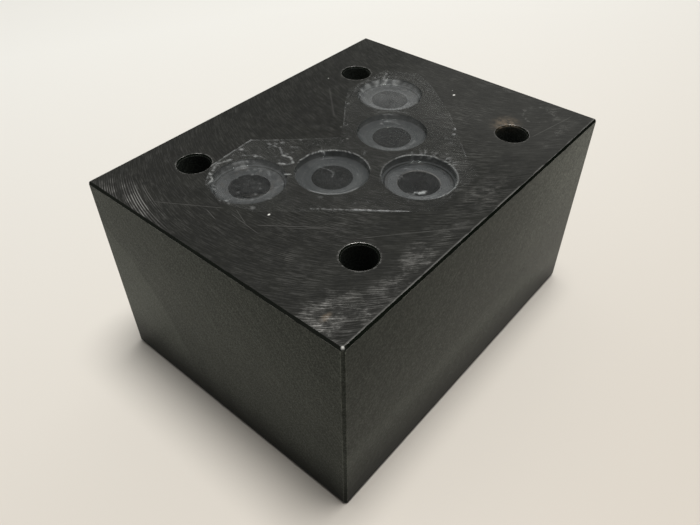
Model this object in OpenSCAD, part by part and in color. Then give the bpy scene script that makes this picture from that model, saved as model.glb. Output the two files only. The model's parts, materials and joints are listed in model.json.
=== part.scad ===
// Sandwich-plate check valve of nominal size 10: a one-piece steel block between a subplate and a
// directional valve. Ports A and B run straight through. A check-valve cartridge stands in P and in
// each of the two tank ports. Origin: centre of the block's bottom face, +Z towards the seal face.

/* [Block] */
// Length along X
block_l = 91; // [88:0.5:110]
// Width along Y
block_w = 70; // [68:0.5:90]
// Height along Z
block_h = 50; // [48:0.5:60]
// Chamfer round the seal face
top_chamfer = 0.5; // [0.3:0.1:1.2]
// Chamfer on the upright and bottom edges
side_chamfer = 0.6; // [0.2:0.1:1]

/* [Port pattern] */
// Bolt spacing along X
bolt_dx = 54; // [53.8:0.1:54.2]
// Bolt spacing along Y
bolt_dy = 46; // [45.8:0.1:46.2]
// Bolt hole diameter, clear of an M6 screw
bolt_hole_d = 7; // [6.4:0.1:7.2]
// Diameter of ports A and B
port_d = 8.8; // [8:0.1:9]
// Diameter of P and the tank ports below their cartridges
cartridge_port_d = 9.2; // [9:0.1:10]
// Seal recess diameter
recess_d = 16; // [15.6:0.1:16.4]
// Seal recess depth
recess_depth = 1.5; // [1.3:0.1:1.7]

/* [Cartridge] */
// Diameter of the bore that holds a cartridge
cavity_d = 15; // [14.8:0.1:15.4]
// Height of the shoulder that a cartridge stands on
shoulder_z = 9.5; // [8:0.5:10]
// Depth of a cartridge's end below the recess floor
end_sink = 0.1; // [0.05:0.05:0.3]
// Flow bore of the sleeve's lip and of the seat ring
flow_d = 8.8; // [8.2:0.1:8.8]
// Bore of the sleeve that guides the poppet
guide_d = 12.4; // [12.2:0.1:12.6]
// Thickness of the sleeve's lip
lip_t = 4.4; // [4.2:0.1:5]
// Length of the seat ring
seat_l = 9.5; // [9:0.5:10]
// Diameter of the seat ring
seat_d = 13.2; // [13:0.1:13.4]

/* [Poppet] */
// Travel of a poppet from its seat to the lip
stroke = 3.5; // [2.5:0.1:4]
// Radial clearance of a poppet in its guide
poppet_gap = 0.05; // [0.02:0.01:0.08]
// Number of cross holes in the neck
cross_holes = 6; // [4:1:6]
// Diameter of a cross hole
cross_hole_d = 2.8; // [2:0.1:2.8]

/* [Spring] */
// Wire diameter
wire_d = 0.8; // [0.6:0.05:0.85]
// Mean diameter of the coils
coil_d = 9.7; // [9.6:0.05:9.75]
// Active coils
active_coils = 6; // [4:1:7]

/* [Seals] */
// Width of the seal groove in the sleeve
groove_w = 3; // [2.8:0.1:3.2]
// Diameter at the bottom of the seal groove
groove_d = 12.5; // [12.3:0.1:12.7]
// Width of the back-up ring
backup_w = 1; // [0.8:0.1:1.2]

/* [Film] */
// Thickness of the protective film
film_t = 0.1; // [0.05:0.05:0.2]

/* [Hidden] */
$fn = 96;
eps = 0.01;
slip = 0.02;                                // radial clearance of parts that stay put
chamfer_hole = 0.35;                        // chamfer at the mouth of a bolt hole

// Port places in the nominal size 10 pattern, from its centre, and the radii worked out from above
port_p = [0, -16.7];
port_a = [-10.3, -1.6];
port_b = [10.3, -1.6];
port_ta = [-23.8, 9.5];
port_tb = [23.8, 9.5];
through_ports = [port_a, port_b];
cartridge_ports = [port_p, port_ta, port_tb];
flow_r = flow_d / 2;
recess_floor_z = block_h - recess_depth;

// Along a cartridge, w runs from its seat end, at 0, to its lip end
cartridge_l = recess_floor_z - end_sink - shoulder_z;
lip_w = cartridge_l - lip_t;                // inner face of the lip
sleeve_r = cavity_d / 2 - slip;
guide_r = guide_d / 2;
seat_r = seat_d / 2;
seat_chamfer = 0.8;                         // 45 degree cone that the poppet closes on
seat_line_r = flow_r + seat_chamfer / 2;    // where poppet and seat meet
seat_line_w = seat_l - seat_chamfer / 2;
seat_gap = 0.05;                            // axial gap of the closed cone, the thickness of an oil film

poppet_r = guide_r - poppet_gap;
skirt_end_w = lip_w - stroke;
nose_r = flow_r + 0.05;
rim_r = flow_r + seat_chamfer;
centre_mark = 0.8;                          // lathe centre in the nose
neck_r = 4.4;
pocket_r = 5.35;                            // pocket that holds the spring
channel_r = 3.1;                            // flow channel behind the nose
pocket_w = 17.2;                            // floor of the spring pocket
neck_start_w = 10.6;
neck_end_w = 14.6;
cross_hole_w = 12.6;

spring_start_w = pocket_w;
spring_end_w = lip_w;
dead_rise = wire_d * 1.06;                  // rise of a closed end coil
spring_sides = 8;
spring_steps = 20;                          // rings in each coil

groove_start_w = cartridge_l - 0.7 - groove_w;
groove_r = groove_d / 2;
o_ring_r = (cavity_d / 2 - groove_r) / 2;   // section as squeezed in its groove
film_outline = [
    [-25.5, 19.3], [-13, 20.3], [-8.5, 15], [0.6, 5.6], [5, 8.5], [13.5, 15.2],
    [18.5, 18.6], [32.6, 18.2], [36.7, 10.5], [33.3, 3.5], [25, -7.5], [12.3, -20.3],
    [8, -26], [-7, -26], [-11, -22.3], [-30.5, 1.2], [-32.6, 8.5], [-30.6, 15.4]
];

// Outline of a block section with cut corners
module cut_rectangle(l, w, c) {
    polygon([
        [-l / 2 + c, -w / 2], [l / 2 - c, -w / 2], [l / 2, -w / 2 + c], [l / 2, w / 2 - c],
        [l / 2 - c, w / 2], [-l / 2 + c, w / 2], [-l / 2, w / 2 - c], [-l / 2, -w / 2 + c]
    ]);
}

// Side profile of the block, with the larger chamfer at the top
module side_profile(l) {
    polygon([
        [-l / 2 + side_chamfer, 0], [l / 2 - side_chamfer, 0], [l / 2, side_chamfer],
        [l / 2, block_h - top_chamfer], [l / 2 - top_chamfer, block_h],
        [-l / 2 + top_chamfer, block_h], [-l / 2, block_h - top_chamfer], [-l / 2, side_chamfer]
    ]);
}

module chamfered_block() {
    intersection() {
        linear_extrude(block_h) cut_rectangle(block_l, block_w, side_chamfer);
        translate([0, block_w / 2, 0]) rotate([90, 0, 0]) linear_extrude(block_w) side_profile(block_l);
        translate([-block_l / 2, 0, 0]) rotate([90, 0, 90]) linear_extrude(block_l) side_profile(block_w);
    }
}

module at_bolts() {
    for (sx = [-1, 1], sy = [-1, 1])
        translate([sx * bolt_dx / 2, sy * bolt_dy / 2, 0]) children();
}

module bolt_hole() {
    translate([0, 0, -1]) cylinder(d = bolt_hole_d, h = block_h + 2);
    translate([0, 0, -eps])
        cylinder(r1 = bolt_hole_d / 2 + chamfer_hole + eps, r2 = bolt_hole_d / 2, h = chamfer_hole + eps);
    translate([0, 0, block_h - chamfer_hole])
        cylinder(r1 = bolt_hole_d / 2, r2 = bolt_hole_d / 2 + chamfer_hole + eps, h = chamfer_hole + eps);
}

module valve_block() {
    color("dimgray") difference() {
        chamfered_block();
        at_bolts() bolt_hole();
        for (p = through_ports)
            translate([p.x, p.y, -1]) cylinder(d = port_d, h = block_h + 2);
        for (p = cartridge_ports) translate([p.x, p.y, 0]) {
            translate([0, 0, -1]) cylinder(d = cartridge_port_d, h = shoulder_z + 2);
            translate([0, 0, shoulder_z]) cylinder(d = cavity_d, h = block_h);
        }
        for (p = concat(through_ports, cartridge_ports))
            translate([p.x, p.y, recess_floor_z]) cylinder(d = recess_d, h = recess_depth + 1);
    }
}

// Stands a cartridge in a port: "down" opens towards -Z and has its seat at the top, "up" the reverse
module in_port(p, opens) {
    translate([p.x, p.y, opens == "down" ? shoulder_z + cartridge_l : shoulder_z])
        rotate([opens == "down" ? 180 : 0, 0, 0]) children();
}

module sleeve() {
    color("silver") rotate_extrude() polygon([
        [flow_r, cartridge_l], [flow_r, lip_w], [guide_r, lip_w], [guide_r, seat_l],
        [seat_r, seat_l], [seat_r, 0], [sleeve_r - 0.3, 0], [sleeve_r, 0.3],
        [sleeve_r, groove_start_w], [groove_r, groove_start_w],
        [groove_r, groove_start_w + groove_w], [sleeve_r, groove_start_w + groove_w],
        [sleeve_r, cartridge_l - 0.3], [sleeve_r - 0.3, cartridge_l]
    ]);
}

module seat_ring() {
    color("lightsteelblue") rotate_extrude() polygon([
        [flow_r + 0.2, 0], [flow_r, 0.2], [flow_r, seat_l - seat_chamfer],
        [flow_r + seat_chamfer, seat_l - eps], [seat_r - slip, seat_l - eps], [seat_r - slip, 0]
    ]);
}

// The cone line goes through seat_line_r and seat_line_w, held off by seat_gap
function cone_w(r) = seat_line_w + (r - seat_line_r) + seat_gap;

module poppet() {
    color("gainsboro") difference() {
        rotate_extrude() polygon([
            [0, cone_w(nose_r) + centre_mark], [centre_mark, cone_w(nose_r)],
            [nose_r, cone_w(nose_r)], [rim_r, cone_w(rim_r)],
            [rim_r, neck_start_w - 0.3], [neck_r, neck_start_w], [neck_r, neck_end_w],
            [poppet_r, neck_end_w + 1], [poppet_r, skirt_end_w - 0.3], [poppet_r - 0.3, skirt_end_w],
            [pocket_r, skirt_end_w], [pocket_r, pocket_w], [channel_r, pocket_w],
            [channel_r, neck_start_w + 0.8], [0, neck_start_w - 0.2]
        ]);
        for (i = [0 : cross_holes - 1])
            translate([0, 0, cross_hole_w]) rotate([0, 90, i * 360 / cross_holes])
                cylinder(d = cross_hole_d, h = neck_r + 1);
    }
}

// Height of the wire's centre after a number of coils: one closed coil at each end, an even pitch between
function wire_height(n, span) =
    n < 1 ? n * dead_rise
    : n > active_coils + 1 ? span - (active_coils + 2 - n) * dead_rise
    : dead_rise + (n - 1) * (span - 2 * dead_rise) / active_coils;

module spring() {
    span = spring_end_w - spring_start_w - wire_d - 2 * eps;
    rings = (active_coils + 2) * spring_steps;
    points = [
        for (i = [0 : rings], k = [0 : spring_sides - 1])
            let (
                turn = i / spring_steps,
                a = turn * 360,
                s = k * 360 / spring_sides,
                r = coil_d / 2 + wire_d / 2 * cos(s)
            )
            [r * cos(a), r * sin(a), wire_height(turn, span) + wire_d / 2 * sin(s)]
    ];
    faces = concat(
        [[for (k = [0 : spring_sides - 1]) k]],
        [
            for (i = [0 : rings - 1], k = [0 : spring_sides - 1])
                let (n = (k + 1) % spring_sides, a = i * spring_sides, b = a + spring_sides)
                [a + k, b + k, b + n, a + n]
        ],
        [[for (k = [spring_sides - 1 : -1 : 0]) rings * spring_sides + k]]
    );
    color("slategray") translate([0, 0, spring_start_w + wire_d / 2 + eps]) polyhedron(points, faces);
}

module o_ring() {
    color("black") translate([0, 0, groove_start_w + backup_w + o_ring_r + 0.15])
        rotate_extrude() translate([groove_r + o_ring_r, 0]) circle(r = o_ring_r - slip, $fn = 48);
}

module backup_ring() {
    color("white") translate([0, 0, groove_start_w + slip])
        rotate_extrude() translate([groove_r + slip, 0])
            square([cavity_d / 2 - groove_r - 2 * slip, backup_w]);
}

module protective_film() {
    color("lightgray", 0.4) translate([0, 0, block_h + eps]) linear_extrude(film_t) polygon(film_outline);
}

valve_block();
in_port(port_p, "down") sleeve();  // sleeve_p
in_port(port_p, "down") seat_ring();  // seat_ring_p
in_port(port_p, "down") poppet();  // poppet_p
in_port(port_p, "down") spring();  // spring_p
in_port(port_p, "down") o_ring();  // o_ring_p
in_port(port_p, "down") backup_ring();  // backup_ring_p
in_port(port_ta, "up") sleeve();  // sleeve_ta
in_port(port_ta, "up") seat_ring();  // seat_ring_ta
in_port(port_ta, "up") poppet();  // poppet_ta
in_port(port_ta, "up") spring();  // spring_ta
in_port(port_ta, "up") o_ring();  // o_ring_ta
in_port(port_ta, "up") backup_ring();  // backup_ring_ta
in_port(port_tb, "up") sleeve();  // sleeve_tb
in_port(port_tb, "up") seat_ring();  // seat_ring_tb
in_port(port_tb, "up") poppet();  // poppet_tb
in_port(port_tb, "up") spring();  // spring_tb
in_port(port_tb, "up") o_ring();  // o_ring_tb
in_port(port_tb, "up") backup_ring();  // backup_ring_tb
protective_film();
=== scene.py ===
"""Looks of the sandwich-plate check valve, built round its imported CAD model.

Blender works in metres, in the CAD's own frame. Sizes in the materials and the film are in millimetres.
"""

import json
import math

import bmesh
import bpy
import numpy as np
from mathutils import Matrix, Vector, noise


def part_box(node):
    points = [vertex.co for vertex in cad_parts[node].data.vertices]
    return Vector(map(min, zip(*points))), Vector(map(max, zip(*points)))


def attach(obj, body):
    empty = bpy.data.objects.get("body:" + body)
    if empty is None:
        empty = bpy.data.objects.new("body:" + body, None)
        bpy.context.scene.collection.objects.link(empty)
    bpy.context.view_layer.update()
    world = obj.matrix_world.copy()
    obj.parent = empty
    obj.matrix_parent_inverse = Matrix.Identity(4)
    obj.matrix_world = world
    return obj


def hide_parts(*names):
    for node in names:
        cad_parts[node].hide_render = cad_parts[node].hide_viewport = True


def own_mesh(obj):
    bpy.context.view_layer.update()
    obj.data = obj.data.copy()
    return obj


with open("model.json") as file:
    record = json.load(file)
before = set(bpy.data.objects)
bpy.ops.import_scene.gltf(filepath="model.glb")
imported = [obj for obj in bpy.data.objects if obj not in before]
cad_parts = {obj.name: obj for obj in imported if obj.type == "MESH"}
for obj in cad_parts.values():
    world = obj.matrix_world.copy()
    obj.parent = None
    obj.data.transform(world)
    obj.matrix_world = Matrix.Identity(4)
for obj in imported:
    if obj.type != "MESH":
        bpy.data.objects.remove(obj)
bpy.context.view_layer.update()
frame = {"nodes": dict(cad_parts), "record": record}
record = frame["record"]
nodes = frame["nodes"]
mounts = {m["name"]: m for m in record["mounts"]}
MM = 0.001
TAU = 2 * math.pi

# the block, its ports and its screw holes, in millimetres
HALF_L, HALF_W, TOP = (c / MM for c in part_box("valve_block")[1])
PORTS = {}
for key in ("p", "a", "b", "ta", "tb"):
    PORTS[key] = tuple(c / MM for c in mounts[f"seal_recess_{key}"]["pos_m"][:2])
RECESS_R = mounts["seal_recess_p"]["dims"]["r_mm"]
RECESS_DEPTH = mounts["seal_recess_p"]["dims"]["length_mm"]
PORT_R = mounts["port_a"]["dims"]["r_mm"]
SCREWS = mounts["screw_pattern"]["dims"]               # four through holes about the centre


# ---------------------------------------------------------------- camera and light
CAMERA_PLACE = Vector((-0.09414, -0.07815, 0.12900))
CAMERA_TARGET = Vector((-0.00881, -0.00514, 0.02500))
CAMERA_ROLL = math.radians(-0.346)
CAMERA_LENS = 33.52
CAMERA_SENSOR = 36.0
NEAR_CLIP = 0.005
FAR_CLIP = 20.0

# a dim room: the sky brightens overhead and to the far side, and a pale wall stands low on the far right
ROOM_COLOUR = (1.0, 0.985, 0.95)
SKY_SIDE = (0.3, 0.65, 0.7)
SKY_RAMP = (0.0, 1.3, 0.03, 0.48)                      # from and to along that side, from and to strength
WALL_SIDE = Vector((0.85, 0.33, 0.36)).normalized()
WALL_RAMP = (0.86, 1.0, 0.0, 0.5)

LAMP_PLACE = (0.10, -0.06, 1.2)
LAMP_TARGET = (0.0, 0.0, 0.0)
LAMP_SIZE = 0.46
LAMP_POWER = 15.4


def make_camera():
    data = bpy.data.cameras.new("camera")
    data.lens = CAMERA_LENS
    data.sensor_width = CAMERA_SENSOR
    data.clip_start = NEAR_CLIP
    data.clip_end = FAR_CLIP
    cam = bpy.data.objects.new("camera", data)
    bpy.context.scene.collection.objects.link(cam)
    look = (CAMERA_TARGET - CAMERA_PLACE).to_track_quat("-Z", "Y").to_matrix()
    turn = Matrix.Rotation(CAMERA_ROLL, 3, "Z")
    cam.matrix_world = Matrix.Translation(CAMERA_PLACE) @ (look @ turn).to_4x4()
    bpy.context.scene.camera = cam


def make_lamp():
    data = bpy.data.lights.new("overhead", "AREA")
    data.shape = "DISK"
    data.size = LAMP_SIZE
    data.energy = LAMP_POWER
    data.color = ROOM_COLOUR
    lamp = bpy.data.objects.new("overhead", data)
    bpy.context.scene.collection.objects.link(lamp)
    lamp.location = LAMP_PLACE
    lamp.rotation_mode = "QUATERNION"
    lamp.rotation_quaternion = (Vector(LAMP_TARGET) - Vector(LAMP_PLACE)).to_track_quat("-Z", "Y")


def glow_towards(tree, way, side, ramp):
    """Strength of the light that comes from each way, greater towards one side."""
    dot = tree.nodes.new("ShaderNodeVectorMath")
    dot.operation = "DOT_PRODUCT"
    tree.links.new(way, dot.inputs[0])
    dot.inputs[1].default_value = side
    glow = tree.nodes.new("ShaderNodeMapRange")
    glow.interpolation_type = "SMOOTHSTEP"
    for name, value in zip(("From Min", "From Max", "To Min", "To Max"), ramp):
        glow.inputs[name].default_value = value
    tree.links.new(dot.outputs["Value"], glow.inputs["Value"])
    return glow.outputs["Result"]


def make_world():
    """The dim room, whose dark near side keeps the near chamfers dark, as in the photo."""
    world = bpy.data.worlds.new("studio")
    bpy.context.scene.world = world
    world.use_nodes = True
    tree = world.node_tree
    tree.nodes.clear()
    way = tree.nodes.new("ShaderNodeTexCoord").outputs["Generated"]
    total = tree.nodes.new("ShaderNodeMath")
    tree.links.new(glow_towards(tree, way, SKY_SIDE, SKY_RAMP), total.inputs[0])
    tree.links.new(glow_towards(tree, way, WALL_SIDE, WALL_RAMP), total.inputs[1])
    back = tree.nodes.new("ShaderNodeBackground")
    back.inputs["Color"].default_value = (*ROOM_COLOUR, 1)
    tree.links.new(total.outputs[0], back.inputs["Strength"])
    out = tree.nodes.new("ShaderNodeOutputWorld")
    tree.links.new(back.outputs[0], out.inputs["Surface"])


make_camera()
make_world()
make_lamp()
bpy.context.scene.view_settings.view_transform = "Standard"


# ---------------------------------------------------------------- marks on the block, millimetres
# the cutter that faced the block: its radius, the line its centre ran along, and its feed
CUTTER_R = 50.0
CUTTER_Y = 5.0
FEED = 0.50
# rows of its lines near the left corner: arc, half width, weight
LINE_ROWS = (
    (-0.6, 1.6, 1.0), (3.9, 1.4, 1.15), (6.9, 0.3, 0.6), (-6.0, 3.0, 0.5),
)
# worn places: (x, y, reach x, reach y), then the weights of feed lines, frost and fibres
WORN_PLACES = (
    ((-45, 22, 12, 20), 1.0, 0.16, 0.2), ((-40, 5, 5, 6), 0.18, 0.06, 0.0),
    ((-36, -12, 4.5, 5.5), 0.40, 0.08, 0.1), ((-42, -29, 12, 9), 0.35, 0.95, 0.6),
    ((-33, -33, 14, 6), 0.40, 0.85, 0.8), ((-21, -31, 10, 5), 0.35, 0.75, 0.8),
    ((-10, -31, 13, 6), 0.10, 0.38, 1.0), ((4, -30, 15, 9), 0.0, 0.44, 1.0),
    ((40, -26, 8, 7), 0.0, 0.45, 0.3), ((10, -20, 16, 9), 0.0, 0.0, 0.9),
    ((34, -31, 14, 3), 0.0, 0.45, 0.6), ((44, -14, 3, 18), 0.0, 0.40, 0.2),
    ((26, -10, 12, 9), 0.0, 0.08, 0.7), ((-21, -15, 11, 9), 0.08, 0.05, 0.75),
    ((-2, -8, 10, 5), 0.0, 0.0, 0.7), ((-38, -20, 9, 7), 0.0, 0.0, 0.45),
    ((-28, -6, 8, 6), 0.0, 0.0, 0.45),
)
# scratches: (from x, y, to x, y, half width), weight
SCRATCHES = (
    ((-41, 19, -33, 6, 0.14), 0.16), ((-33, -2, -24, -14, 0.13), 0.22),
    ((6.5, 12.5, 17, 23.5, 0.35), 0.07), ((-30, -7, -22, -17, 0.12), 0.14),
    ((28, -27, 43, -30, 0.18), 0.11), ((-24, -19, -8, -33, 0.10), 0.18),
    ((-35.6, 9.3, -36.8, 4.5, 0.10), 0.24), ((-33.5, 4.4, -34.4, -4.9, 0.09), 0.20),
    ((-31.8, 4.8, -34, -0.8, 0.09), 0.20), ((-38.4, 4.6, -38.6, -0.6, 0.09), 0.16),
)
# specks: (x, y, radius), weight
SPECKS = (
    ((-29.0, -1.8, 0.45), 1.0), ((33.5, -3.0, 0.55), 1.0), ((1.5, 4.2, 0.55), 0.12),
    ((4.4, 8.6, 0.5), 0.08), ((20.2, 26.6, 0.3), 0.6), ((35.2, -1.4, 0.22), 0.4),
)

# colours of the block; the first three vary between two
OXIDE = ((0.0026, 0.0040, 0.0026), (0.0048, 0.0062, 0.0044))
FACE_OXIDE = ((0.0028, 0.0031, 0.0026), (0.0066, 0.0070, 0.0058))
RECESS_FLOOR = ((0.028, 0.031, 0.033), (0.060, 0.064, 0.066))
BARE_FACE = (0.36, 0.355, 0.345)
BARE_SIDE = (0.335, 0.370, 0.335)
RUST = (0.36, 0.28, 0.20)
SPECK = (0.86, 0.86, 0.83)
EDGE_REACH = 0.14                                      # how far a bare edge reaches on either side


# ---------------------------------------------------------------- shader building
class Shader:
    """A material whose nodes are written as expressions. Sockets and plain numbers mix freely."""

    def __init__(self, name):
        self.material = bpy.data.materials.new(name)
        self.material.use_nodes = True
        self.tree = self.material.node_tree
        self.tree.nodes.clear()
        self.output = self.tree.nodes.new("ShaderNodeOutputMaterial")
        self.principled = self.tree.nodes.new("ShaderNodeBsdfPrincipled")
        self.tree.links.new(self.principled.outputs[0], self.output.inputs["Surface"])
        self.coords = self.tree.nodes.new("ShaderNodeTexCoord")
        scaled = self.tree.nodes.new("ShaderNodeVectorMath")
        scaled.operation = "SCALE"
        scaled.inputs["Scale"].default_value = 1 / MM
        self.tree.links.new(self.coords.outputs["Object"], scaled.inputs[0])
        self.point = scaled.outputs[0]                 # in millimetres

    def put(self, socket, value):
        if isinstance(value, bpy.types.NodeSocket):
            self.tree.links.new(value, socket)
        elif isinstance(value, (tuple, list)) and len(value) == 3 and socket.type == "RGBA":
            socket.default_value = (*value, 1)
        else:
            socket.default_value = value

    def set(self, **values):
        for name, value in values.items():
            self.put(self.principled.inputs[name.replace("_", " ").title().replace("Ior", "IOR")], value)

    def math(self, op, a, b=0.0, c=0.0):
        n = self.tree.nodes.new("ShaderNodeMath")
        n.operation = op
        for socket, value in zip(n.inputs, (a, b, c)):
            self.put(socket, value)
        return n.outputs[0]

    def add(self, a, b):
        return self.math("ADD", a, b)

    def sub(self, a, b):
        return self.math("SUBTRACT", a, b)

    def mul(self, a, b, *more):
        product = self.math("MULTIPLY", a, b)
        for m in more:
            product = self.math("MULTIPLY", product, m)
        return product

    def split(self, vector):
        n = self.tree.nodes.new("ShaderNodeSeparateXYZ")
        self.tree.links.new(vector, n.inputs[0])
        return n.outputs

    def millimetres(self):
        """The point's x, y and z in millimetres."""
        return self.split(self.point)

    def normal(self):
        return self.split(self.coords.outputs["Normal"])

    def vector(self, x=0.0, y=0.0, z=0.0):
        n = self.tree.nodes.new("ShaderNodeCombineXYZ")
        for socket, value in zip(n.inputs, (x, y, z)):
            self.put(socket, value)
        return n.outputs[0]

    def length(self, x, y):
        return self.math("SQRT", self.add(self.mul(x, x), self.mul(y, y)))

    def span(self, value, low, high, to_low=0.0, to_high=1.0, smooth=True):
        """The value carried from one range to another, and held at its ends."""
        n = self.tree.nodes.new("ShaderNodeMapRange")
        n.interpolation_type = "SMOOTHSTEP" if smooth else "LINEAR"
        names = ("Value", "From Min", "From Max", "To Min", "To Max")
        for name, v in zip(names, (value, low, high, to_low, to_high)):
            self.put(n.inputs[name], v)
        return n.outputs["Result"]

    def noise(self, vector, scale, detail=2.0, roughness=0.5):
        n = self.tree.nodes.new("ShaderNodeTexNoise")
        self.put(n.inputs["Vector"], vector)
        for name, v in (("Scale", scale), ("Detail", detail), ("Roughness", roughness)):
            n.inputs[name].default_value = v
        return n.outputs["Fac"]

    def patches(self, scale, low, high, to_low=0.0, to_high=1.0, roughness=0.6):
        """Soft-edged patches, the smaller the greater the scale."""
        return self.span(self.noise(self.point, scale, 3.0, roughness), low, high, to_low, to_high)

    def mix(self, share, a, b):
        """Colour a where the share is 0 and b where it is 1."""
        n = self.tree.nodes.new("ShaderNodeMix")
        n.data_type = "RGBA"                           # its colours: inputs 6 and 7, output 2
        for socket, value in ((n.inputs[0], share), (n.inputs[6], a), (n.inputs[7], b)):
            self.put(socket, value)
        return n.outputs[2]

    def dot(self, x=0.0, y=0.0, z=0.0):
        """The point in millimetres along a direction."""
        n = self.tree.nodes.new("ShaderNodeVectorMath")
        n.operation = "DOT_PRODUCT"
        self.tree.links.new(self.point, n.inputs[0])
        n.inputs[1].default_value = (x, y, z)
        return n.outputs["Value"]

    def spot(self, x, y, reach_x, reach_y):
        """1 at a place on the seal face, fading to 0 at the reach."""
        n = self.tree.nodes.new("ShaderNodeVectorMath")
        n.operation = "MULTIPLY_ADD"
        self.tree.links.new(self.point, n.inputs[0])
        n.inputs[1].default_value = (1 / reach_x, 1 / reach_y, 0)
        n.inputs[2].default_value = (-x / reach_x, -y / reach_y, 0)
        away = self.tree.nodes.new("ShaderNodeVectorMath")
        away.operation = "LENGTH"
        self.tree.links.new(n.outputs[0], away.inputs[0])
        return self.span(away.outputs["Value"], 1.0, 0.0)

    def scratch(self, ax, ay, bx, by, half_width):
        """1 along a straight line on the seal face."""
        run = math.hypot(bx - ax, by - ay)
        tx, ty = (bx - ax) / run, (by - ay) / run
        across = self.math("ABSOLUTE", self.sub(self.dot(-ty, tx), -ty * ax + tx * ay))
        along = self.math("ABSOLUTE", self.sub(self.dot(tx, ty), tx * ax + ty * ay + run / 2))
        return self.mul(self.span(across, half_width, 0.0), self.span(along, run / 2, run / 2 - 1.5))

    def most(self, *values):
        top = values[0]
        for v in values[1:]:
            top = self.math("MAXIMUM", top, v)
        return top

    def attribute(self, name):
        n = self.tree.nodes.new("ShaderNodeAttribute")
        n.attribute_name = name
        return n.outputs["Fac"]

    def bump(self, height, distance, strength=1.0, normal=None):
        n = self.tree.nodes.new("ShaderNodeBump")
        n.inputs["Strength"].default_value = strength
        n.inputs["Distance"].default_value = distance
        self.put(n.inputs["Height"], height)
        if normal is not None:
            self.put(n.inputs["Normal"], normal)
        return n.outputs[0]


def dress(name, material):
    mesh = nodes[name].data
    mesh.materials.clear()
    mesh.materials.append(material)


def axis_distance(s, x, y, keys):
    """Distance from the nearest of some ports' axes, for turning marks on all of them at once."""
    near = None
    for key in keys:
        px, py = PORTS[key]
        r = s.length(s.sub(x, px), s.sub(y, py))
        near = r if near is None else s.math("MINIMUM", near, r)
    return near


def feed_marks(s, x, y):
    """The arc of the wide cutter that each point lies on, with its ridges and its finer streaks."""
    off = s.sub(y, CUTTER_Y)
    arc = s.add(x, s.math("SQRT", s.sub(CUTTER_R ** 2, s.mul(off, off))))
    drift = s.noise(s.vector(s.mul(arc, 0.35), s.mul(y, 0.03)), 1.0, 2.0, 0.5)
    wave = s.math("SINE", s.add(s.mul(arc, TAU / FEED), s.mul(drift, 9.0)))
    ridges = s.span(wave, 0.1, 1.0)
    streaks = s.noise(s.vector(s.mul(arc, 4.4), s.mul(y, 0.26), 4.0), 1.0, 3.0, 0.8)
    return arc, ridges, streaks


def face_wear(s, x, y, arc, ridges, streaks, grain, blotch):
    """How bare the seal face is, and how strongly its feed lines stand out."""
    places = [(s.spot(*place), weights) for place, *weights in WORN_PLACES]
    marked, frosted, combed = (
        s.most(*(s.mul(near, weights[i]) for near, weights in places if weights[i]))
        for i in range(3)
    )

    # feed lines, in rows near the left corner
    rows = s.most(*(
        s.mul(s.span(s.math("ABSOLUTE", s.sub(arc, at)), half + 0.4, half), weight)
        for at, half, weight in LINE_ROWS
    ))
    corner = s.span(y, 2.0, 8.0)
    marked = s.mul(marked, s.add(s.mul(corner, rows), s.sub(1.0, corner)))
    lines = s.mul(ridges, marked, s.add(0.22, s.mul(blotch, 0.40)))

    # frosted scuffs and brushed fibres
    fibres = s.span(streaks, 0.47, 0.63)
    scuffed = s.add(s.mul(fibres, 0.78), s.mul(s.span(grain, 0.50, 0.72), 0.22))
    frost = s.mul(scuffed, s.mul(frosted, s.add(0.36, s.mul(blotch, 0.74))))
    right_side = s.mul(s.span(x, 4.0, 30.0, 0.0, 0.034), s.span(y, 22.0, 6.0))
    plain = s.add(s.span(x, 8.0, -26.0, 0.030, 0.038), right_side)
    fibre_weight = s.add(s.add(0.040, s.mul(blotch, 0.024)), s.mul(combed, 0.112))
    brushed = s.add(plain, s.mul(fibres, fibre_weight))

    # a ring-shaped stain, the rubbed near edge, and broken bright rims round the screw holes
    off_ring = s.math("ABSOLUTE", s.sub(s.length(s.sub(x, 38.0), s.add(y, 23.5)), 3.6))
    stain = s.mul(s.span(off_ring, 1.3, 0.0), s.patches(0.8, 0.44, 0.66), 0.20)
    rubbed = s.mul(s.span(y, 0.95 - HALF_W, 0.5 - HALF_W), s.patches(0.22, 0.36, 0.56), 0.30)
    hole = s.length(s.sub(s.math("ABSOLUTE", x), SCREWS["spacing_x_mm"] / 2),
                    s.sub(s.math("ABSOLUTE", y), SCREWS["spacing_y_mm"] / 2))
    rim = s.mul(s.span(hole, SCREWS["hole_r_mm"] + 0.95, SCREWS["hole_r_mm"] + 0.15),
                s.patches(1.5, 0.42, 0.60, roughness=0.65), 0.34)

    cuts = s.most(*(s.mul(s.scratch(*place), weight) for place, weight in SCRATCHES))
    bare = s.add(s.most(lines, frost, brushed, stain, rubbed, rim), s.mul(cuts, 0.75))
    return bare, marked


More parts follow.
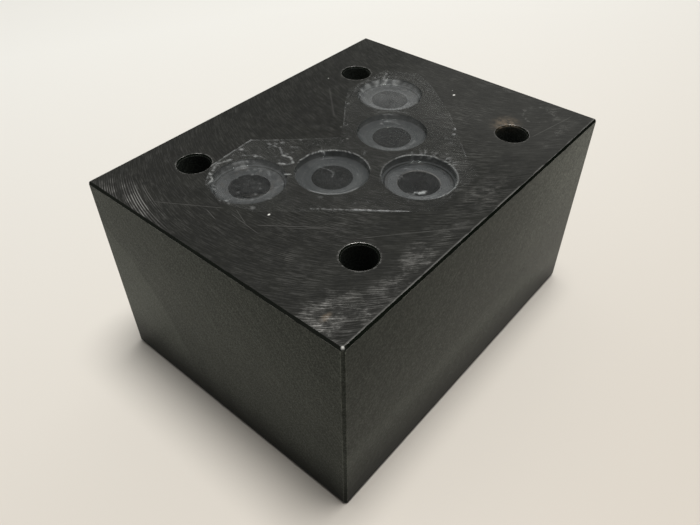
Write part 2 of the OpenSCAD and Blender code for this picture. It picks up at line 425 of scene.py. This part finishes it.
def edge_wear(s, y, z, nz, left_rim, away):
    """Bare edges, from the difference between the rounded and the true normal."""
    bevel = s.tree.nodes.new("ShaderNodeBevel")
    bevel.samples = 4
    bevel.inputs["Radius"].default_value = EDGE_REACH * MM
    geometry = s.tree.nodes.new("ShaderNodeNewGeometry")
    turn = s.tree.nodes.new("ShaderNodeVectorMath")
    turn.operation = "DOT_PRODUCT"
    s.tree.links.new(bevel.outputs[0], turn.inputs[0])
    s.tree.links.new(geometry.outputs["Normal"], turn.inputs[1])
    sharp = s.span(turn.outputs["Value"], 0.995, 0.93)

    upper_wear = s.mul(s.sub(1.0, left_rim), s.span(z, TOP - 1.1, TOP - 0.3, 0.30, 1.0))
    lower_wear = s.mul(left_rim, s.span(z, TOP - 0.15, TOP - 0.35, 0.15, 0.8),
                       s.span(z, TOP - 1.5, TOP - 0.9, 0.35, 1.0))
    edge = s.mul(sharp, s.patches(0.5, 0.30, 0.62), s.add(upper_wear, lower_wear),
                 s.span(away, RECESS_R + 0.6, RECESS_R + 0.9, 0.25, 1.0))

    front = s.mul(left_rim, s.span(y, 1.5 - HALF_W, 1.1 - HALF_W), s.span(nz, 0.3, 0.2))
    front_wear = s.mul(sharp, front, s.patches(0.5, 0.25, 0.55, 0.08, 0.24))
    return edge, front_wear, bevel.outputs[0]


def side_finish_and_painted_light(s, x, y, z, side, under):
    """Paler finish of the sides and the bottom: grain on the slant and grit, with painted shade towards
    the foot, painted light on the left end and the upper right, and two faint bands of painted reflection.
    """
    around = s.add(x, y)
    slant = s.noise(s.vector(s.mul(s.sub(around, z), 1.3), s.mul(s.add(around, z), 0.10)), 1.0, 3.0, 0.6)
    grit = s.patches(2.7, 0.40, 0.74, roughness=0.75)
    clouds = s.add(0.060, s.add(s.mul(s.span(slant, 0.42, 0.70), 0.036), s.mul(grit, 0.148)))
    # painted light: the left end face made paler
    painted_light_left_end = s.mul(s.span(x, 0.3 - HALF_L, 0.1 - HALF_L), 0.30)
    # painted reflection: paler towards the upper right of the sides
    painted_light_upper_right = s.mul(s.span(x, 4.0, 44.0, 0.0, 1.0), s.span(z, 12.0, 46.0))
    # painted shade: the sides darker towards the foot, standing in for the floor's contact shadow seen in
    # them
    foot = s.most(s.span(z, -1.0, 14.0, 0.04, 1.0), under)
    haze = s.mul(side, clouds, foot, s.add(s.add(1.0, painted_light_left_end), painted_light_upper_right))

    # two faint bands of painted reflection: a paler streak low on the -Y side and a paler sweep under an
    # arc on the left end
    off_band = s.math("ABSOLUTE", s.sub(z, s.span(x, 5.0, 45.0, 15.5, 8.5)))
    painted_reflection_band = s.mul(s.span(y, 0.3 - HALF_W, 0.1 - HALF_W), s.span(off_band, 5.0, 0.5), 0.035)
    below_arc = s.span(s.length(s.sub(y, 60.0), s.add(z, 5.0)), 51.6, 50.2)
    painted_reflection_sweep = s.mul(s.span(x, 0.2 - HALF_L, 0.1 - HALF_L), below_arc, 0.045)
    painted_reflections = s.mul(side, s.add(s.mul(painted_reflection_sweep, s.span(z, 2.0, 20.0)), painted_reflection_band))
    return haze, painted_reflections, slant


def blackened_steel():
    """Milled block under a thin black oxide, bare where it was cut, rubbed or knocked, with painted light,
    shade and reflections on its sides.
    """
    s = Shader("blackened_steel")
    x, y, z = s.millimetres()
    nz = s.normal()[2]
    flat_top = s.mul(s.span(z, TOP - 0.03, TOP - 0.01), s.span(nz, 0.97, 0.99))
    side = s.span(nz, 0.3, 0.2)                        # the bottom too
    under = s.span(nz, -0.8, -0.9)
    left_rim = s.span(x, 1.5 - HALF_L, 1.1 - HALF_L)
    away = axis_distance(s, x, y, PORTS)
    grain = s.noise(s.point, 2.1, 3.0, 0.65)
    blotch = s.patches(0.33, 0.42, 0.62)

    arc, ridges, streaks = feed_marks(s, x, y)
    bare, marked = face_wear(s, x, y, arc, ridges, streaks, grain, blotch)
    edge, front_wear, rounded = edge_wear(s, y, z, nz, left_rim, away)
    haze, painted_reflections, slant = side_finish_and_painted_light(s, x, y, z, side, under)
    chamfer = s.mul(s.span(nz, 0.4, 0.6), s.span(nz, 0.95, 0.85), left_rim, 0.014)
    # bare steel where worn, plus the painted light, shade and reflections of the sides
    wear_and_painted_light = s.add(s.most(s.mul(flat_top, bare), s.mul(edge, 0.9), chamfer),
                 s.add(haze, s.add(front_wear, painted_reflections)))
    wear_and_painted_light = s.math("MINIMUM", wear_and_painted_light, 1.0)

    # seal recesses: turned floors, greyer than the face
    recess = s.mul(s.span(away, RECESS_R + 0.05, RECESS_R - 0.02),
                   s.span(z, TOP - RECESS_DEPTH - 0.1, TOP - RECESS_DEPTH - 0.02),
                   s.span(z, TOP - 0.05, TOP - 0.15))
    turned = s.noise(s.vector(s.mul(away, 5.0), s.mul(z, 5.0), 7.0), 1.0, 2.0, 0.6)

    # rust by the far right screw hole and a trace by the front corner
    rust = s.most(s.mul(s.spot(29.6, -19.8, 5.0, 4.2), 0.30),
                  s.mul(edge, s.spot(28.6, -20.4, 4.0, 3.4), 0.8),
                  s.mul(s.spot(-41.9, -28.2, 1.8, 1.0), 0.30))
    rust = s.mul(rust, s.patches(0.9, 0.28, 0.66), s.span(z, TOP - 2.5, TOP - 0.3))

    # white specks, and the knocked tip of the front corner
    specks = s.most(*(s.mul(s.spot(px, py, r, r * 0.7), weight) for (px, py, r), weight in SPECKS))
    tip = s.mul(s.spot(0.55 - HALF_L, 0.55 - HALF_W, 0.42, 0.42), s.span(z, TOP - 0.7, TOP - 0.5), 0.75)

    colour = s.mix(s.patches(0.11, 0.35, 0.65, roughness=0.55), *OXIDE)
    colour = s.mix(s.mul(flat_top, 0.75), colour, s.mix(blotch, *FACE_OXIDE))
    colour = s.mix(recess, colour, s.mix(turned, *RECESS_FLOOR))
    colour = s.mix(wear_and_painted_light, colour, s.mix(side, BARE_FACE, BARE_SIDE))
    colour = s.mix(rust, colour, RUST)
    colour = s.mix(s.most(s.mul(flat_top, specks), tip), colour, SPECK)

    cut_height = s.add(s.mul(ridges, s.add(0.30, marked)), s.mul(streaks, 0.8))
    other_height = s.add(s.mul(grain, 0.5), s.add(s.mul(side, slant), s.mul(recess, turned)))
    height = s.add(s.mul(flat_top, cut_height), other_height)
    s.set(base_color=colour, metallic=s.mul(s.most(wear_and_painted_light, s.mul(recess, 0.6)), 0.75),
          specular_ior_level=0.025, specular_tint=(0.95, 1.0, 0.93),
          roughness=s.sub(s.span(grain, 0.30, 0.70, 0.32, 0.42), s.mul(s.sub(side, under), 0.20)))
    s.put(s.principled.inputs["Normal"], s.bump(height, 0.012 * MM, 1.0, rounded))
    return s.material


dress("valve_block", blackened_steel())


# ---------------------------------------------------------------- protective film, millimetres
FILM_STEP = 0.26                                       # spacing of the cuts that divide it
FILM_THICK = 0.1
FILM_LIFT = 0.03                                       # lower face above the steel where it lies flat
# port: radius of rim and foot, depth, haze of ring, disc and wall
FILM_SAG = {
    "p": (8.0, 6.6, 1.36, 0.023, 0.022, 0.030),
    "a": (8.0, 6.6, 1.36, 0.032, 0.027, 0.026),
    "b": (8.0, 6.0, 1.34, 0.024, 0.033, 0.036),
    "ta": (7.9, 5.4, 1.10, 0.034, 0.030, 0.040),
    "tb": (8.0, 6.0, 1.25, 0.062, 0.082, 0.075),
}
# port, radius, half width, from and to angle, height, haze; partly milky creases, partly painted
# highlights where the bent film catches light, above all on the near side of each ring
FILM_ARCS = (
    ("p", 8.0, 0.17, -130, 84, 0.06, 0.34), ("p", 8.0, 0.20, 76, 140, 0.04, 0.12),
    ("p", 5.7, 0.6, 190, 262, 0.0, 0.11), ("a", 8.0, 0.17, -50, 112, 0.06, 0.26),
    ("a", 8.05, 0.30, 180, 268, 0.05, 0.20), ("a", 5.6, 1.0, 186, 330, 0.0, 0.075),
    ("a", 7.3, 0.9, 94, 186, 0.0, 0.055), ("b", 8.0, 0.26, 165, 285, 0.04, 0.045),
    ("b", 5.5, 0.8, 165, 300, 0.0, 0.10), ("b", 8.7, 0.36, 2, 66, 0.08, 0.06),
    ("b", 3.1, 0.16, 0, 360, 0.04, 0.036), ("b", 2.1, 0.14, 0, 360, 0.03, 0.034),
    ("ta", 5.1, 0.7, 190, 290, 0.03, 0.11), ("ta", 7.0, 1.6, 0, 360, 0.0, 0.055),
    ("b", 7.0, 1.3, -30, 130, 0.0, 0.065), ("p", 7.2, 1.1, 5, 150, 0.0, 0.045),
    ("tb", 5.4, 1.0, 150, 290, 0.0, 0.13), ("tb", 6.0, 1.9, -60, 125, 0.10, 0.12),
    ("tb", 7.6, 0.32, 175, 285, 0.05, 0.22), ("tb", 3.2, 1.4, 0, 360, 0.05, 0.085),
)
# whitened lines that leave a rim: port, from and to angle, reach, haze
FILM_FRINGES = (
    ("p", -38, 40, 10.6, 0.17), ("p", -75, -40, 9.2, 0.10), ("tb", 20, 130, 9.4, 0.14),
    ("ta", 60, 200, 9.6, 0.10), ("b", 5, 70, 9.6, 0.06),
)
# duller parts of a ring, painted shade where its slope looks dark: port, from and to angle, share of the
# haze left
FILM_PAINTED_SHADE = (
    ("a", 92, 188, 0.55), ("p", -70, 95, 0.60), ("a", -60, 60, 0.8),
)
# points along the fold, half width, height, haze, how broken
FILM_FOLDS = (
    (((-22.6, -6.9), (-19.0, -11.6), (-15.3, -16.5)), 0.20, 0.10, 0.22, 1.0),
    (((-17.8, -13.2), (-15.3, -16.5), (-11.0, -22.2)), 0.22, 0.16, 0.42, 0.55),
    (((-25.5, 19.2), (-19.0, 19.8), (-13.0, 20.2)), 0.26, 0.16, 0.22, 0.7),
    (((-13.0, 20.2), (-11.0, 17.6), (-8.5, 15.0)), 0.25, 0.12, 0.13, 0.8),
    (((-8.5, 15.0), (0.6, 5.6)), 0.25, 0.05, 0.05, 0.8),
    (((25.0, -7.5), (21.0, -12.0), (12.3, -20.3)), 0.30, 0.10, 0.10, 0.8),
    (((36.7, 10.5), (33.3, 3.5), (29.0, -2.2)), 0.35, 0.06, 0.045, 0.7),
    (((5.0, 8.5), (9.5, 12.0), (13.5, 15.2)), 0.30, 0.08, 0.09, 0.9),
    (((-15.7, 9.0), (-14.8, 7.2), (-13.5, 6.6), (-12.4, 8.4), (-12.9, 10.4)), 0.34, 0.25, 0.34, 0.7),
    (((-12.9, 10.4), (-11.0, 13.0), (-11.7, 15.4), (-9.6, 14.2), (-8.4, 13.0)), 0.24, 0.18, 0.20, 1.0),
    (((-30.2, 14.6), (-28.8, 15.1), (-27.7, 16.6), (-27.4, 18.0)), 0.34, 0.22, 0.34, 1.0),
    (((-26.4, 17.6), (-24.4, 18.8), (-22.6, 18.3), (-21.2, 17.7)), 0.34, 0.20, 0.26, 0.6),
    (((-18.6, 17.0), (-16.6, 15.2), (-16.2, 12.6)), 0.30, 0.20, 0.12, 0.8),
    (((-20.6, 13.4), (-18.7, 11.9), (-18.2, 9.4), (-19.4, 7.6)), 0.45, 0.22, 0.13, 0.8),
    (((-17.6, 5.0), (-16.9, 4.2)), 0.22, 0.20, 0.45, 0.0),
    (((-9.5, 3.0), (-9.2, 1.6), (-8.9, 0.2), (-9.4, -1.3), (-10.8, -1.9)), 0.20, 0.10, 0.15, 0.3),
    (((-6.3, 5.6), (-5.9, 4.6)), 0.26, 0.15, 0.36, 0.1),
    (((-5.0, 6.2), (-7.4, 3.4)), 0.22, 0.12, 0.08, 0.4),
    (((-8.9, 3.0), (-6.9, 1.4), (-4.7, 0.0)), 0.9, 0.0, 0.045, 0.5),
    (((4.6, -11.6), (6.2, -10.2)), 0.18, 0.08, 0.18, 0.3),
    (((5.9, -12.9), (7.3, -12.1)), 0.20, 0.08, 0.16, 0.5),
    (((6.9, -13.8), (7.7, -15.0)), 0.20, 0.08, 0.13, 0.4),
    (((1.8, -11.6), (2.4, -12.8)), 0.22, 0.08, 0.15, 0.4),
    (((-1.2, -11.8), (-0.9, -13.4)), 0.2, 0.06, 0.13, 0.4),
    (((-4.9, -17.3), (-4.3, -18.7)), 0.30, 0.08, 0.16, 0.4),
    # a painted glint and its sparkles, on the near edge of the p port's disc
    (((-3.3, -19.2), (-2.6, -19.8)), 0.55, 0.10, 0.60, 0.1),
    (((-3.9, -18.3), (-3.4, -18.6)), 0.25, 0.06, 0.4, 0.0),
    (((-2.4, -19.3), (-1.9, -19.9)), 0.3, 0.06, 0.35, 0.3),
    (((28.5, 15.2), (31.5, 16.6)), 0.5, 0.15, 0.15, 0.8),
    (((21.0, 15.4), (24.0, 17.0)), 0.5, 0.12, 0.14, 0.8),
    (((14.4, 3.2), (15.4, 1.6), (15.7, -0.2)), 0.6, 0.08, 0.09, 0.5),
)
# x, y, radius, haze
FILM_GLINTS = (
    (-17.0, 19.0, 0.75, 0.30), (20.3, -12.3, 0.7, 0.36), (18.1, -13.2, 0.6, 0.26),
    (13.0, 3.5, 0.8, 0.13), (-27.1, 5.2, 0.8, 0.15), (-21.1, 4.4, 0.8, 0.17),
    (-24.0, 13.0, 0.5, 0.18), (-27.2, 9.2, 0.5, 0.20), (-21.0, 11.4, 0.6, 0.14),
    (-22.2, 8.0, 0.45, 0.17), (-23.4, 6.6, 0.45, 0.15), (-25.4, 5.9, 0.5, 0.18),
    (-23.0, 10.4, 0.4, 0.14), (-30.4, 12.6, 0.6, 0.20), (-29.6, 13.6, 0.5, 0.25),
    (-18.9, 11.2, 0.8, 0.14), (-12.0, 10.0, 0.8, 0.12), (-9.2, 14.0, 0.8, 0.14),
    (-5.8, 11.7, 0.5, 0.12), (13.2, 14.0, 0.7, 0.12), (5.6, 7.9, 0.6, 0.10),
    (14.5, -14.8, 0.9, 0.06), (18.9, -16.2, 0.5, 0.10), (-1.9, -13.0, 0.5, 0.10),
)


def segment_distance(points, a, b):
    a = np.array(a, float)
    b = np.array(b, float)
    t = np.clip(((points - a) @ (b - a)) / ((b - a) @ (b - a)), 0, 1)
    return np.linalg.norm(points - a - t[:, None] * (b - a), axis=1)


def fade(value, low, high):
    """Smooth step from 0 at low to 1 at high."""
    t = np.clip((value - low) / (high - low), 0, 1)
    return t * t * (3 - 2 * t)


def wander(points, size, seed):
    """Smooth noise, about -1 to 1, over features of the given size."""
    return np.array([noise.noise(Vector((px / size, py / size, seed))) * 1.7 for px, py in points])


def polar(points, key):
    """Distance of each point from a port's axis, and its turn about it in degrees."""
    away = points - np.array(PORTS[key])
    return np.hypot(*away.T), np.degrees(np.arctan2(away[:, 1], away[:, 0]))


def sector(turn, start, stop, soft):
    """1 between two angles, fading out over the soft degrees inside both."""
    past = (turn - start) % 360
    return fade(past, 0, soft) * fade(past, stop - start, stop - start - soft)


def sag_into_ports(points, height, haze, fine, coarse):
    """Lowers the film into each recess, and sets how milky its ring, disc and wall are there."""
    for key, (rim, foot, depth, ring_haze, disc_haze, wall_haze) in FILM_SAG.items():
        r, turn = polar(points, key)
        inside = fade(r, rim, foot)
        ripple = 0.0
        if key == "tb":                                # gathered in spokes on its far side
            spokes = np.sin(np.radians(turn) * 17 + 2.0 * wander(points, 2.5, 2.0))
            ripple = 0.10 * spokes * fade(turn, 5, 30) * fade(turn, 150, 110)
            ripple = ripple * fade(r, 2.5, 5.0) * fade(r, 8.0, 7.0)
            haze = haze + np.clip(ripple, 0, 1) * 2.4
        height = height * (1 - inside) + inside * (0.04 * (fine + 1) - depth) + ripple
        ring = ring_haze
        for shade_key, start, stop, share in FILM_PAINTED_SHADE:
            if shade_key == key:
                ring = ring * (1 - (1 - share) * sector(turn, start, stop, 6))
        disc = fade(r, PORT_R + 0.30, PORT_R - 0.10)
        flat_haze = ring * (1 - disc) + disc_haze * disc
        mottle = 1 + (0.34 if key == "ta" else 0.14) * fine + 0.20 * coarse
        haze = haze * (1 - inside) + inside * flat_haze * mottle
        haze = haze + 4 * inside * (1 - inside) * wall_haze * (1 + 0.4 * fine)
    return height, haze


def film_marks(points, broken):
    """Each arc, fringe, fold and glint: its shape from 0 to 1, its height and its haze."""
    for key, radius, half_width, start, stop, rise, cloud in FILM_ARCS:
        r, turn = polar(points, key)
        part = 1.0 if stop - start >= 360 else sector(turn, start, stop, min(12.0, (stop - start) / 3))
        yield fade(np.abs(r - radius), half_width, 0) * part * (0.78 + 0.35 * broken), rise, cloud
    for key, start, stop, reach, cloud in FILM_FRINGES:
        r, turn = polar(points, key)
        lines = wander(np.stack((turn * 0.42, r * 0.35), axis=1), 1.0, 12.0)
        part = sector(turn, start, stop, 10)
        yield fade(r, 8.1, 8.5) * fade(r, reach, 8.6) * part * fade(lines, 0.05, 0.7), 0.10, cloud
    for line, half_width, rise, cloud, gaps in FILM_FOLDS:
        near = np.min([segment_distance(points, a, b) for a, b in zip(line, line[1:])], axis=0)
        yield fade(near, half_width, 0) * (1 - gaps * fade(broken, 0.15, -0.35)), rise, cloud
    for gx, gy, radius, cloud in FILM_GLINTS:
        near = np.hypot(points[:, 0] - gx, points[:, 1] - gy)
        yield fade(near, radius, 0) * (0.8 + 0.4 * broken), 0.12, cloud


def film_shape(points):
    """Height above the seal face and haze at each point, both from the same folds."""
    fine = wander(points, 0.9, 3.3)
    coarse = wander(points, 3.2, 8.1)
    broken = wander(points, 0.7, 21.0)
    crinkle = fade(-points[:, 0], 7.0, 16.0) * fade(points[:, 1], -1.0, 8.0)
    height = 0.03 * (fine + 1) + 0.03 * (coarse + 1) + 0.10 * crinkle * np.abs(fine)
    turned = points @ np.array(((0.8, -0.6), (0.6, 0.8)))
    flecks = fade(wander(turned, 1.05, 5.0), 0.50, 0.95) * fade(wander(turned, 2.6, 31.0), 0.0, 0.5)
    haze = 0.001 + 0.003 * (coarse + 1) * 0.5
    haze = haze + (crinkle * (0.008 + 0.16 * flecks) + 0.04 * flecks)
    height, haze = sag_into_ports(points, height, haze, fine, coarse)
    for shape, rise, cloud in film_marks(points, broken):
        height = height + rise * shape
        haze = np.maximum(haze, cloud * shape)
    return height, np.clip(haze, 0, 1)


def divided_outline(lo, hi):
    """The upper face of the film's CAD solid, cut into small squares."""
    bm = bmesh.new()
    bm.from_mesh(nodes["protective_film"].data)
    bm.normal_update()
    bmesh.ops.delete(bm, geom=[f for f in bm.faces if f.normal.z < 0.9], context="FACES")
    bmesh.ops.dissolve_limit(bm, angle_limit=0.01, verts=bm.verts, edges=bm.edges)
    for axis in range(2):
        first = math.ceil(lo[axis] / MM / FILM_STEP)
        last = math.ceil(hi[axis] / MM / FILM_STEP)
        way = [0, 0, 0]
        way[axis] = 1
        for k in range(first, last):
            place = [0, 0, 0]
            place[axis] = (k + 0.31) * FILM_STEP * MM
            geom = bm.verts[:] + bm.edges[:] + bm.faces[:]
            bmesh.ops.bisect_plane(bm, geom=geom, plane_co=place, plane_no=way)
    bmesh.ops.remove_doubles(bm, verts=bm.verts, dist=0.02 * MM)
    mesh = bpy.data.meshes.new("film")
    bm.to_mesh(mesh)
    bm.free()
    return mesh


def build_film():
    lo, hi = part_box("protective_film")
    mesh = divided_outline(lo, hi)
    places = np.empty(len(mesh.vertices) * 3)
    mesh.vertices.foreach_get("co", places)
    places = places.reshape(-1, 3)
    height, haze = film_shape(places[:, :2] / MM)
    places[:, 2] = (TOP + FILM_LIFT + height) * MM
    mesh.vertices.foreach_set("co", places.ravel())
    mesh.attributes.new("haze", "FLOAT", "POINT").data.foreach_set("value", haze)
    mesh.shade_smooth()
    film = bpy.data.objects.new("film", mesh)
    bpy.context.scene.collection.objects.link(film)
    thick = film.modifiers.new("thickness", "SOLIDIFY")
    thick.thickness = FILM_THICK * MM
    thick.offset = 1.0
    film.data.materials.append(clear_film())
    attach(film, "film")
    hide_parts("protective_film")


def clear_film():
    """Thin clear plastic: a faint gloss all over, milky where it is creased or stretched, and milky too
    where highlights and glints are painted into its haze.
    """
    s = Shader("clear_film")
    haze = s.mul(s.attribute("haze"), 0.5)             # half for each of its two faces
    weight = s.tree.nodes.new("ShaderNodeLayerWeight")
    weight.inputs["Blend"].default_value = 0.5
    gloss = s.add(s.mul(s.math("POWER", weight.outputs["Facing"], 4.0), 0.08), 0.002)
    cover = s.add(haze, gloss)
    mottle = s.noise(s.point, 1.1, 3.0, 0.6)
    s.set(base_color=s.mix(mottle, (0.74, 0.80, 0.83), (0.86, 0.86, 0.84)),
          alpha=s.math("MINIMUM", cover, 1.0),
          metallic=s.math("DIVIDE", gloss, cover), roughness=s.span(mottle, 0.3, 0.7, 0.22, 0.38))
    s.put(s.principled.inputs["Normal"], s.bump(mottle, 0.012 * MM, 0.5))
    return s.material


build_film()


# ---------------------------------------------------------------- the cartridges inside
CARTRIDGES = {"p": -1, "ta": 1, "tb": 1}               # port: the way its poppet opens, along Z
SEAT_CONE = (4.41, 4.46, 5.2, 5.4)                     # radii over which the ground cone fades in and out
WIRE_R = 0.4
COIL_R = 4.85
ACTIVE_COILS = 6
CLOSED_RISE = 2 * WIRE_R * 1.06                        # rise of each closed end coil
RINGS_PER_COIL = 48
WIRE_SIDES = 16


def turned_steel():
    """Turned sleeve with a dark phosphate finish, a little brown in places."""
    s = Shader("turned_steel")
    x, y, z = s.millimetres()
    away = axis_distance(s, x, y, CARTRIDGES)
    tool = s.noise(s.vector(s.mul(away, 4.5), s.mul(z, 4.5), 1.0), 1.0, 3.0, 0.6)
    cloud = s.noise(s.point, 0.5, 3.0, 0.6)
    colour = s.mix(tool, (0.028, 0.031, 0.033), (0.080, 0.085, 0.088))
    colour = s.mix(s.mul(s.span(cloud, 0.50, 0.72), 0.5), colour, (0.055, 0.048, 0.040))
    s.set(base_color=colour, metallic=0.75, roughness=s.span(cloud, 0.3, 0.7, 0.30, 0.46))
    s.put(s.principled.inputs["Normal"], s.bump(tool, 0.010 * MM, 0.9))
    return s.material


def hardened_steel():
    """Ground and hardened poppets, with fine lines round the axis and a faint straw temper."""
    s = Shader("hardened_steel")
    x, y, z = s.millimetres()
    away = axis_distance(s, x, y, CARTRIDGES)
    ground = s.noise(s.vector(s.mul(away, 9.0), s.mul(z, 9.0), 2.0), 1.0, 2.0, 0.6)
    cloud = s.noise(s.point, 0.35, 3.0, 0.55)
    colour = s.mix(ground, (0.24, 0.24, 0.235), (0.42, 0.42, 0.41))
    colour = s.mix(s.mul(s.span(cloud, 0.48, 0.74), 0.30), colour, (0.32, 0.26, 0.17))
    s.set(base_color=colour, metallic=1.0, roughness=s.span(cloud, 0.3, 0.7, 0.32, 0.46))
    s.put(s.principled.inputs["Normal"], s.bump(ground, 0.004 * MM, 0.8))
    return s.material


def seat_steel():
    """Seat ring under the same dark finish as the sleeve, with its cone ground bright."""
    s = Shader("seat_steel")
    x, y, z = s.millimetres()
    nz = s.normal()[2]
    away = axis_distance(s, x, y, CARTRIDGES)
    ground = s.noise(s.vector(s.mul(away, 9.0), s.mul(z, 9.0), 2.0), 1.0, 2.0, 0.6)
    cloud = s.noise(s.point, 0.5, 3.0, 0.6)
    inner, inner_full, outer_full, outer = SEAT_CONE
    bright = s.mul(s.span(away, outer, outer_full), s.span(away, inner, inner_full),
                   s.span(s.math("ABSOLUTE", nz), 0.9, 0.8))
    dark = s.mix(ground, (0.030, 0.034, 0.036), (0.072, 0.077, 0.080))
    colour = s.mix(bright, dark, s.mix(ground, (0.30, 0.295, 0.285), (0.48, 0.475, 0.46)))
    s.set(base_color=colour, metallic=s.add(s.mul(bright, 0.5), 0.5),
          roughness=s.span(cloud, 0.3, 0.7, 0.24, 0.40))
    s.put(s.principled.inputs["Normal"], s.bump(ground, 0.006 * MM, 0.8))
    return s.material


def spring_wire():
    """Hard-drawn wire with die lines along it and a dark tempered skin."""
    s = Shader("spring_wire")
    x, y, z = s.millimetres()
    away = axis_distance(s, x, y, CARTRIDGES)
    lines = s.noise(s.vector(s.mul(away, 14.0), s.mul(z, 1.5), 3.0), 1.0, 2.0, 0.6)
    cloud = s.noise(s.point, 0.7, 3.0, 0.6)
    colour = s.mix(lines, (0.12, 0.115, 0.11), (0.30, 0.29, 0.275))
    colour = s.mix(s.mul(s.span(cloud, 0.48, 0.70), 0.55), colour, (0.10, 0.075, 0.055))
    s.set(base_color=colour, metallic=1.0, roughness=s.span(cloud, 0.3, 0.7, 0.24, 0.40))
    s.put(s.principled.inputs["Normal"], s.bump(lines, 0.006 * MM, 0.8))
    return s.material


def seal_rubber():
    """Black nitrile rubber: matt, faintly grained, with a thin film of oil."""
    s = Shader("seal_rubber")
    grain = s.noise(s.point, 6.0, 3.0, 0.6)
    oil = s.noise(s.point, 0.6, 3.0, 0.6)
    s.set(base_color=s.mix(grain, (0.008, 0.008, 0.009), (0.022, 0.022, 0.023)),
          roughness=s.span(oil, 0.35, 0.65, 0.34, 0.62))
    s.put(s.principled.inputs["Normal"], s.bump(grain, 0.008 * MM, 0.8))
    return s.material


def backup_ptfe():
    """Waxy off-white PTFE, cut from a tube, a little stained by oil."""
    s = Shader("backup_ptfe")
    x, y, z = s.millimetres()
    away = axis_distance(s, x, y, CARTRIDGES)
    cut = s.noise(s.vector(s.mul(away, 7.0), s.mul(z, 7.0), 5.0), 1.0, 2.0, 0.6)
    stain = s.noise(s.point, 0.45, 3.0, 0.6)
    colour = s.mix(cut, (0.70, 0.69, 0.65), (0.80, 0.79, 0.76))
    colour = s.mix(s.mul(s.span(stain, 0.48, 0.70), 0.5), colour, (0.62, 0.54, 0.40))
    s.set(base_color=colour, roughness=s.span(stain, 0.3, 0.7, 0.32, 0.50))
    s.put(s.principled.inputs["Normal"], s.bump(cut, 0.008 * MM, 0.8))
    return s.material


def coil_rise(turn, turns, span):
    """How far along the spring its wire is after some turns: closed end coils, open ones between."""
    if turn < 1:
        return turn * CLOSED_RISE
    if turn > turns - 1:
        return span - (turns - turn) * CLOSED_RISE
    return CLOSED_RISE + (turn - 1) * (span - 2 * CLOSED_RISE) / ACTIVE_COILS


def build_spring(key, way, material):
    """One smooth helix with closed ends, in the box of its CAD solid."""
    lo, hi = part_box(f"spring_{key}")
    px, py = PORTS[key]
    span = (hi.z - lo.z) / MM - 2 * WIRE_R
    turns = ACTIVE_COILS + 2
    seat = (hi.z if way < 0 else lo.z) / MM            # the end by the poppet
    bm = bmesh.new()
    rings = []
    for i in range(turns * RINGS_PER_COIL + 1):
        turn = i / RINGS_PER_COIL
        rise = coil_rise(turn, turns, span)
        a = TAU * turn * way
        ring = []
        for k in range(WIRE_SIDES):
            b = TAU * k / WIRE_SIDES
            r = COIL_R + WIRE_R * math.cos(b)
            h = seat + way * (WIRE_R + rise + WIRE_R * math.sin(b))
            place = ((px + r * math.cos(a)) * MM, (py + r * math.sin(a)) * MM, h * MM)
            ring.append(bm.verts.new(place))
        rings.append(ring)
    for first, second in zip(rings, rings[1:]):
        for k in range(WIRE_SIDES):
            n = (k + 1) % WIRE_SIDES
            bm.faces.new((first[k], second[k], second[n], first[n]))
    bm.faces.new(rings[0])
    bm.faces.new(rings[-1])
    bmesh.ops.recalc_face_normals(bm, faces=bm.faces)
    mesh = bpy.data.meshes.new(f"coil_{key}")
    bm.to_mesh(mesh)
    bm.free()
    mesh.shade_smooth()
    mesh.materials.append(material)
    coil = bpy.data.objects.new(f"coil_{key}", mesh)
    bpy.context.scene.collection.objects.link(coil)
    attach(coil, "block")
    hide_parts(f"spring_{key}")
    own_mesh(coil)


def dress_cartridges():
    looks = {
        "sleeve": turned_steel(),
        "seat_ring": seat_steel(),
        "poppet": hardened_steel(),
        "o_ring": seal_rubber(),
        "backup_ring": backup_ptfe(),
    }
    wire = spring_wire()
    for key, way in CARTRIDGES.items():
        for part, material in looks.items():
            dress(f"{part}_{key}", material)
        build_spring(key, way, wire)


dress_cartridges()


# ---------------------------------------------------------------- floor
FLOOR_HALF = 3.0
FLOOR_DROP = 0.00005                                   # below the block, so that the two faces don't fight
FAR_FLOOR = (0.766, 0.762, 0.735)
SHADED_NEAR_FLOOR = (0.575, 0.532, 0.478)


def pale_floor():
    """A pale bench top, with painted shade: a little darker and warmer in front."""
    s = Shader("pale_floor")
    x, y = s.millimetres()[:2]
    # painted shade: the floor darkens towards the front, where less light falls
    painted_shade = s.span(s.add(s.mul(x, 0.44), s.mul(y, 0.90)), 200.0, -90.0, smooth=False)
    s.set(base_color=s.mix(painted_shade, FAR_FLOOR, SHADED_NEAR_FLOOR), roughness=0.55)
    return s.material


corners = [(-FLOOR_HALF, -FLOOR_HALF, 0), (FLOOR_HALF, -FLOOR_HALF, 0),
           (FLOOR_HALF, FLOOR_HALF, 0), (-FLOOR_HALF, FLOOR_HALF, 0)]
floor_mesh = bpy.data.meshes.new("floor")
floor_mesh.from_pydata(corners, [], [(0, 1, 2, 3)])
floor = bpy.data.objects.new("floor", floor_mesh)
bpy.context.scene.collection.objects.link(floor)
floor.location.z = -FLOOR_DROP
floor.data.materials.append(pale_floor())
